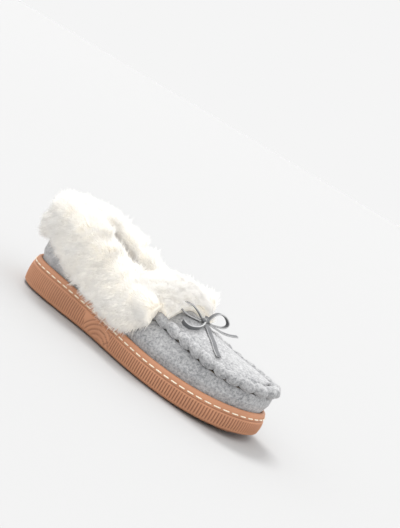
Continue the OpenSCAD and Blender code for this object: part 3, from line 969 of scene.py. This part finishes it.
def collar_skin(a, q, depth):
    """Point of the collar at angle a and q from 0, its lower edge outside, over the fold near 0.6, to 1, its
    lower edge inside; depth is the distance out from the cloth, and rounds over the fold."""
    x = station_x(a)
    low = np.interp(x, LOW_X, LOW_Z)
    i_top = edge_in(a)
    # w is 0 at the throat and 1 where the fold is wide
    w = ramp(np.abs(a), 93, 99)
    crest = np.where(a < 0, np.interp(x, CREST_X, CREST_LATERAL), np.interp(x, CREST_X, CREST_MEDIAL))
    fold = crest - TUFT_RISE - 0.6 * FUR_CORE
    out = smooth(q / 0.06)
    # up the outside
    z_out = mix(low, fold, q / 0.5)
    full = mix(0.5, 1.0, ramp(q, 0, 0.25)) * mix(0.3, 1, out)
    in_out = wall_in(a, np.minimum(z_out, edge_z(a))) - 1.2 - depth * full
    # over the fold, as half a turn
    over = np.clip((q - 0.5) / 0.25, 0, 1)
    centre = i_top + mix(0.6, 3.4, w)
    wide = mix(1.8, 3.6, w) + depth * mix(1, mix(0.2, 0.24, w), over)
    in_fold = centre - wide * np.cos(over * np.pi)
    z_fold = fold + (0.6 * depth) * np.sin(over * np.pi)
    # down the inside
    drop = np.clip((q - 0.75) / 0.25, 0, 1)
    in_in = centre + mix(1.8, 3.6, w) + depth * mix(0.2, 0.24, w) * (1 - 0.45 * drop)
    z_in = fold - mix(1.5, 15.0, w) * drop
    inset = np.where(q < 0.5, in_out, np.where(q < 0.75, in_fold, in_in))
    z = np.where(q < 0.5, z_out, np.where(q < 0.75, z_fold, z_in))
    return at(a, inset, z)


def tongue_skin(a, t, depth):
    """Point of the tongue's fur: over the top panel, depth above it by half an ellipse along the shoe."""
    x = station_x(a)
    rise = np.sqrt(np.clip(1 - ((x - 11) / 26) ** 2, 0, 1)) * (1 - 0.3 * t * t)
    return roof_point(a, t, seam_in(x) + mix(5.5, -2.0, np.clip(depth / 10, 0, 1)), 0.6 + depth * rise)


def clump_tips(root, tip, size, rng):
    """For each strand, the mean tip of the strands in its cell of a jittered grid, so that tufts come to
    points. The cell's key mixes its three numbers by large primes."""
    cell = np.floor((root + rng.normal(size=root.shape) * size * 0.14) / size).astype(np.int64)
    key = (cell[:, 0] * 73856093) ^ (cell[:, 1] * 19349663) ^ (cell[:, 2] * 83492791)
    _, index = np.unique(key, return_inverse=True)
    index = index.ravel()
    total = np.zeros((index.max() + 1, 3))
    np.add.at(total, index, tip)
    count = np.bincount(index)[:, None]
    return (total / count)[index]


def grow_fur(name, point, u, v, du, dv, length, width, lean, rng, fur, fine=False):
    """Strands on the surface point(u, v): each leans from the surface's normal towards lean, with a slow
    noise that parts the pile into waves. Fine strands are thinner and longer, and draw into closer tufts."""
    root = point(u, v)
    e1 = point(u + du, v) - root
    e2 = point(u, v + dv) - root
    normal = np.cross(e1, e2)
    normal /= np.linalg.norm(normal, axis=1, keepdims=True)
    wave = np.stack([noise(root, 19, s) for s in (41, 42, 43)], -1)
    direction = 0.7 * normal + lean + 0.2 * wave
    unit = direction / np.linalg.norm(direction, axis=1, keepdims=True)
    size = length * (1 + 0.22 * noise(root, 6, 44))
    tips = clump_tips(root, root + unit * size[:, None], 3.0 if fine else 4.4, rng)
    if fine:
        width = width * SHARP[0]
        size = size * SHARP[1]
    obj = strands(name, root - normal * ROOT_DEPTH, direction, size, width, rng, curl=0.42, clump=tips,
                  pull=0.45 if fine else 0.38)
    place(obj, "fur", fur)


def fur_core(name, node, outer, inner, fur):
    """The soft core between two grids, which stands for the fur's CAD node."""
    obj = closed_sheet(name, outer, inner)
    # the core takes part of the roots' painted shade
    float_attribute(obj, "along", np.full(len(obj.data.vertices), 0.35))
    place(obj, "fur", fur, node)


def collar_core(a, q):
    """Outer face of the collar's core."""
    return collar_skin(a, q, FUR_CORE)


def tongue_core(a, t):
    """Outer face of the tongue's core."""
    return tongue_skin(a, t, TONGUE_CORE)


class SLIPPER_OT_collar(bpy.types.Operator):
    """Fur collar: a folded band round the opening and a tongue across the throat, as cores under strands"""
    bl_idname = "slipper.collar"
    bl_label = "Fur collar"

    def execute(self, context):
        size = context.scene.slipper_sizes
        fur = shared("long_acrylic_pile", fur_material, context.scene.slipper_colours)
        sides = (("lateral", -1), ("medial", 1))
        for name, sign in sides:
            a = (sign * np.linspace(COLLAR_A, 180, 240))[:, None]
            q = np.linspace(0, 1, 70)[None, :]
            outer = collar_core(a, q)
            outer = outer + (0.8 * noise(outer, 12, 51))[..., None] * np.array([0.3, 0.3, 1.0])
            fur_core("fur_backing_" + name, "collar_" + name, outer, collar_skin(a, q, 0.3), fur)
        a = np.linspace(TONGUE_A[1], TONGUE_A[0], 60)[:, None]
        t = np.linspace(1, -1, 60)[None, :]
        fur_core("fur_backing_tongue", "collar_tongue", tongue_core(a, t), tongue_skin(a, t, 0.0), fur)
        rng = np.random.default_rng(7)
        # the first pieces on each surface are of broad strands, and the others of fine ones
        for name, sign in sides:
            for part in range(5):
                u = sign * rng.uniform(COLLAR_A, 180, FUR_PER_PIECE)
                v = rng.uniform(0.0, 1.0, FUR_PER_PIECE) ** 0.92
                down = mix(-0.95, -0.3, ramp(v, 0.42, 0.55)) - 0.6 * ramp(v, 0.66, 0.76)
                fall = np.stack([np.full_like(v, -0.35), np.zeros_like(v), down], -1)
                length = size.pile * mix(1.25, 1.0, ramp(v, 0.04, 0.16)) * mix(1, 0.42, ramp(v, 0.62, 0.8))
                grow_fur(f"fur_{name}_{part + 1}", collar_core, u, v, 0.2, 0.004, length, size.strand_d, fall,
                         rng, fur, fine=part > 1)
        for part in range(3):
            u = rng.uniform(TONGUE_A[0] + 1, TONGUE_A[1], FUR_PER_PIECE)
            v = rng.uniform(-1, 1, FUR_PER_PIECE)
            fall = np.stack([mix(0.5, -0.3, ramp(u, 80, 94)), np.zeros_like(v), np.full_like(v, 0.1)], -1)
            grow_fur(f"fur_tongue_{part + 1}", tongue_core, u, v, -0.2, 0.01, size.pile * 0.8, size.strand_d,
                     fall, rng, fur, fine=part > 0)
        return {"FINISHED"}


# ---------------------------------------------------------------- lace
KNOT = np.array([45.0, 0.0, 63.0])
# each band's route, and the way its flat side faces across it
ROUTES = {
    "lead_lateral": ([(40, -24, 57), (44, -25, 56), (49, -23, 56), (52, -17, 58), (51, -10, 60),
                      (48.5, -5, 61.5)], (0.3, -0.2, 1)),
    "lead_medial": ([(38, 14, 64), (40, 11, 64), (42, 8, 63), (43, 5, 62.5)], (1, 0.4, 0)),
    "loop_lateral": ([(43, -4, 64.5), (40, -9, 68), (36, -15, 71), (32, -20, 71), (30, -23, 68),
                      (32, -22, 64.5), (36, -17, 62.5), (40, -11, 62), (43.5, -5, 62)], (0.85, -0.45, 0.1)),
    "loop_medial": ([(45.5, 4, 64.5), (46, 7, 69), (47, 12, 72.5), (50, 18, 72.5), (53, 22, 69.5),
                     (54, 23, 66), (53, 19, 63), (50, 12, 62), (47.5, 5, 62)], (0.9, -0.35, 0.2)),
    "tail_lateral": ([(49.5, -2, 61.5), (55, -5, 60), (62, -9, 57.5), (70, -14, 55.5), (78, -20, 53),
                      (86, -25, 51)], (0.5, 0.85, 0.1)),
    "tail_medial": ([(49, 3, 62), (53, 9, 61), (57, 16, 60), (61, 23, 60.5), (64, 30, 62)],
                    (0.85, -0.45, 0)),
}


def fine_route(points, n):
    """A smooth curve through points by Catmull-Rom pieces, resampled to n even points."""
    p = np.array(points, float)
    q = np.concatenate([[2 * p[0] - p[1]], p, [2 * p[-1] - p[-2]]])
    t = np.linspace(0, 1, 12, endpoint=False)[:, None]
    pieces = []
    for before, start, end, after in zip(q, q[1:], q[2:], q[3:]):
        bend = 2 * before - 5 * start + 4 * end - after
        twist = 3 * start - before - 3 * end + after
        pieces.append(0.5 * (2 * start + (end - before) * t + bend * t ** 2 + twist * t ** 3))
    curve = np.concatenate(pieces + [p[-1:]])
    s = distance_along(curve)
    want = np.linspace(0, s[-1], n)
    return np.stack([np.interp(want, s, curve[:, k]) for k in range(3)], -1), s[-1]


def flat_lace(name, points, wide, width, thick):
    """A flat band carried along a route: a rounded rectangle whose long side stays along wide."""
    path, length = fine_route(points, 60)
    tangent = np.gradient(path, axis=0)
    tangent /= np.linalg.norm(tangent, axis=1, keepdims=True)
    w = np.array(wide, float) - (tangent @ np.array(wide, float))[:, None] * tangent
    w /= np.linalg.norm(w, axis=1, keepdims=True)
    b = np.cross(tangent, w)
    f = np.linspace(0, 2 * np.pi, 20, endpoint=False)
    cw = np.sign(np.cos(f)) * np.abs(np.cos(f)) ** 0.45 * width / 2
    cb = np.sign(np.sin(f)) * np.abs(np.sin(f)) ** 0.55 * thick / 2
    rings = path[:, None] + w[:, None] * cw[None, :, None] + b[:, None] * cb[None, :, None]
    obj = tube(name, rings)
    edge = smooth((np.abs(cw) / (width / 2) - 0.82) / 0.16)
    float_attribute(obj, "edge", np.concatenate([np.tile(edge, len(path)), [0.8, 0.8]]))
    return obj, path, length


class SLIPPER_OT_lace(bpy.types.Operator):
    """Lace bow: flat bands along smooth routes for two loops, two tails and two leads, and a wrapped knot"""
    bl_idname = "slipper.lace"
    bl_label = "Lace bow"

    def execute(self, context):
        size = context.scene.slipper_sizes
        suede = shared("cut_suede_lace", suede_material, context.scene.slipper_colours)
        for name, (points, wide) in ROUTES.items():
            obj, path, length = flat_lace("lace_" + name + "_band", points, wide, size.lace_w, size.lace_t)
            place(obj, "lace", suede, "lace_" + name)
            if name.startswith("lead"):
                continue
        # the knot: one flat turn round the crossing, as a bent band with its ends tucked in
        turn = np.linspace(-0.4, 2 * np.pi + 0.1, 48)[::4]
        loop = KNOT + np.stack([2.9 * np.cos(turn), 0.9 * np.cos(turn * 0.5), 2.3 * np.sin(turn) - 0.3], -1)
        knot, _, _ = flat_lace("lace_knot_turn", loop, (0.1, 1, 0.1), size.lace_w * 0.92, size.lace_t)
        place(knot, "lace", suede, "lace_knot")
        # and its middle: an ellipsoid
        f, g = np.meshgrid(np.linspace(0, 2 * np.pi, 28, endpoint=False), np.linspace(0.12, np.pi - 0.12, 16))
        ball = KNOT + np.stack([2.3 * np.cos(f) * np.sin(g), 4.2 * np.cos(g),
                                1.7 * np.sin(f) * np.sin(g) - 0.3], -1)
        heart = tube("lace_knot_heart", ball)
        float_attribute(heart, "edge", np.zeros(len(heart.data.vertices)))
        place(heart, "lace", suede)
        return {"FINISHED"}


# ---------------------------------------------------------------- hidden layers
class SLIPPER_OT_hidden(bpy.types.Operator):
    """Layers inside the shoe, which keep their CAD shape and get their own materials"""
    bl_idname = "slipper.hidden"
    bl_label = "Hidden layers"

    def execute(self, context):
        foam = plain_material("closed_cell_foam", linear("DCDCD8"), 0.0015, 0.8)
        board = plain_material("pressed_fibre_board", linear("B79A72"), 0.001, 0.85)
        stiff = plain_material("stiffened_cloth", linear("CDBFA6"), 0.0008, 0.8)
        tape = plain_material("cotton_tape", linear("E8E6E0"), 0.0006, 0.9)
        groups = {"midsole_foam": foam, "footbed_foam": foam, "insole_board": board, "heel_counter": stiff,
                  "toe_puff": stiff, "topline_tape": tape}
        for node, mat in groups.items():
            mesh = frame["nodes"][node].data
            mesh.materials.clear()
            mesh.materials.append(mat)
        return {"FINISHED"}


# ---------------------------------------------------------------- stage
# the camera's direction and roll in degrees, and its distance and the middle of its view in millimetres
CAMERA = {"azimuth": 29.7, "elevation": 7.9, "roll": 30.2, "distance": 950.0, "right": 44.6, "up": 54.0}
LENS = 98.28              # focal length on a sensor that is 36 mm wide
SENSOR_W = 36
PAPER = "F5F5F5"          # tone of the room behind the slipper
FLOOR_GREY = 0.437        # which comes out as the same tone in full light
FLOOR_HALF = 12000.0
FLOOR_POINTS = 60
KEY_BACK = (-0.5, 0.15, 0.85)
KEY_POWER = 2.2
KEY_SOFT = 20             # width of the key light in degrees
ROOM_POWER = 1.45


def camera_axes():
    """Right, up and back unit vectors of the camera from its azimuth, elevation and roll."""
    a, e, r = (math.radians(CAMERA[k]) for k in ("azimuth", "elevation", "roll"))
    back = np.array([math.sin(a) * math.cos(e), -math.cos(a) * math.cos(e), math.sin(e)])
    right = np.array([math.cos(a), math.sin(a), 0.0])
    up = np.cross(back, right)
    return right * math.cos(r) + up * math.sin(r), -right * math.sin(r) + up * math.cos(r), back


def key_light():
    """A distant white light, broad enough for soft shadows."""
    light = bpy.data.lights.new("key", "SUN")
    light.energy = KEY_POWER
    light.angle = math.radians(KEY_SOFT)
    obj = bpy.data.objects.new("key", light)
    back = np.array(KEY_BACK) / np.linalg.norm(KEY_BACK)
    right = np.cross([0, 0, 1], back)
    right /= np.linalg.norm(right)
    set_axes(obj, right, np.cross(back, right), back, back)
    bpy.context.scene.collection.objects.link(obj)


def soft_room():
    """A white world that lights strongly, and that the camera sees as plain paper."""
    world = bpy.data.worlds.new("soft_white_room")
    add = emptied(world)
    lit = add("ShaderNodeBackground", {"Color": (1, 1, 1, 1), "Strength": ROOM_POWER})
    seen = add("ShaderNodeBackground", {"Color": rgba(linear(PAPER))})
    ray = add("ShaderNodeLightPath")
    pick = add("ShaderNodeMixShader", None, i0=ray.outputs["Is Camera Ray"], i1=lit.outputs[0],
               i2=seen.outputs[0])
    add("ShaderNodeOutputWorld", None, Surface=pick.outputs[0])
    return world


def paper_floor():
    """A flat pale floor just under the slipper."""
    g = np.linspace(-FLOOR_HALF, FLOOR_HALF, FLOOR_POINTS)
    gx, gy = np.meshgrid(g, g, indexing="ij")
    points = np.stack([gx, gy, np.full_like(gx, -0.05)], -1)
    floor = new_mesh("floor", points, grid_faces(FLOOR_POINTS, FLOOR_POINTS))
    mat, add = material("pale_paper_sweep")
    shader = add("ShaderNodeBsdfPrincipled", {"Roughness": 0.9, "Specular IOR Level": 0.1,
                                              "Base Color": rgba((FLOOR_GREY,) * 3)})
    add("ShaderNodeOutputMaterial", None, Surface=shader.outputs[0])
    floor.data.materials.append(mat)


def set_axes(obj, right, up, back, where):
    """Places an object by its three axes and its position."""
    obj.matrix_world = Matrix((
        (right[0], up[0], back[0], where[0]), (right[1], up[1], back[1], where[1]),
        (right[2], up[2], back[2], where[2]), (0, 0, 0, 1)))


class SLIPPER_OT_stage(bpy.types.Operator):
    """Stage: a pale floor, a soft key light, a white room and the camera"""
    bl_idname = "slipper.stage"
    bl_label = "Stage"

    def execute(self, context):
        scene = context.scene
        right, up, back = camera_axes()
        target = (np.array([0, 0, 30.0]) + right * CAMERA["right"] + up * CAMERA["up"] + SHIFT) * MM
        lens = bpy.data.cameras.new("camera")
        lens.sensor_fit = "HORIZONTAL"
        lens.sensor_width = SENSOR_W
        lens.lens = LENS
        lens.clip_end = 50
        camera = bpy.data.objects.new("camera", lens)
        scene.collection.objects.link(camera)
        set_axes(camera, right, up, back, target + back * CAMERA["distance"] * MM)
        scene.camera = camera
        paper_floor()
        key_light()
        scene.world = soft_room()
        scene.view_settings.view_transform = "Standard"
        return {"FINISHED"}


class SLIPPER_PT_panel(bpy.types.Panel):
    """Lists the slipper's pieces"""
    bl_label = "Slipper"
    bl_space_type = "VIEW_3D"
    bl_region_type = "UI"
    bl_category = "Slipper"

    def draw(self, context):
        for group in (context.scene.slipper_sizes, context.scene.slipper_colours):
            for key in group.__annotations__:
                self.layout.prop(group, key)
        for operator in OPERATORS:
            self.layout.operator(operator.bl_idname)


OPERATORS = (SLIPPER_OT_stage, SLIPPER_OT_sole, SLIPPER_OT_sole_thread, SLIPPER_OT_felt, SLIPPER_OT_gathers,
             SLIPPER_OT_lining, SLIPPER_OT_lace, SLIPPER_OT_collar, SLIPPER_OT_hidden)
CLASSES = (SlipperSizes, SlipperColours) + OPERATORS + (SLIPPER_PT_panel,)


def register():
    """Adds the classes, and the two groups of settings to the scene."""
    for cls in CLASSES:
        bpy.utils.register_class(cls)
    bpy.types.Scene.slipper_sizes = bpy.props.PointerProperty(type=SlipperSizes)
    bpy.types.Scene.slipper_colours = bpy.props.PointerProperty(type=SlipperColours)


def unregister():
    """Takes away what register added."""
    del bpy.types.Scene.slipper_colours
    del bpy.types.Scene.slipper_sizes
    for cls in reversed(CLASSES):
        bpy.utils.unregister_class(cls)


def main():
    """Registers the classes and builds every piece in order."""
    register()
    for operator in OPERATORS:
        group, name = operator.bl_idname.split(".")
        getattr(getattr(bpy.ops, group), name)()


if __name__ == "__main__":
    main()
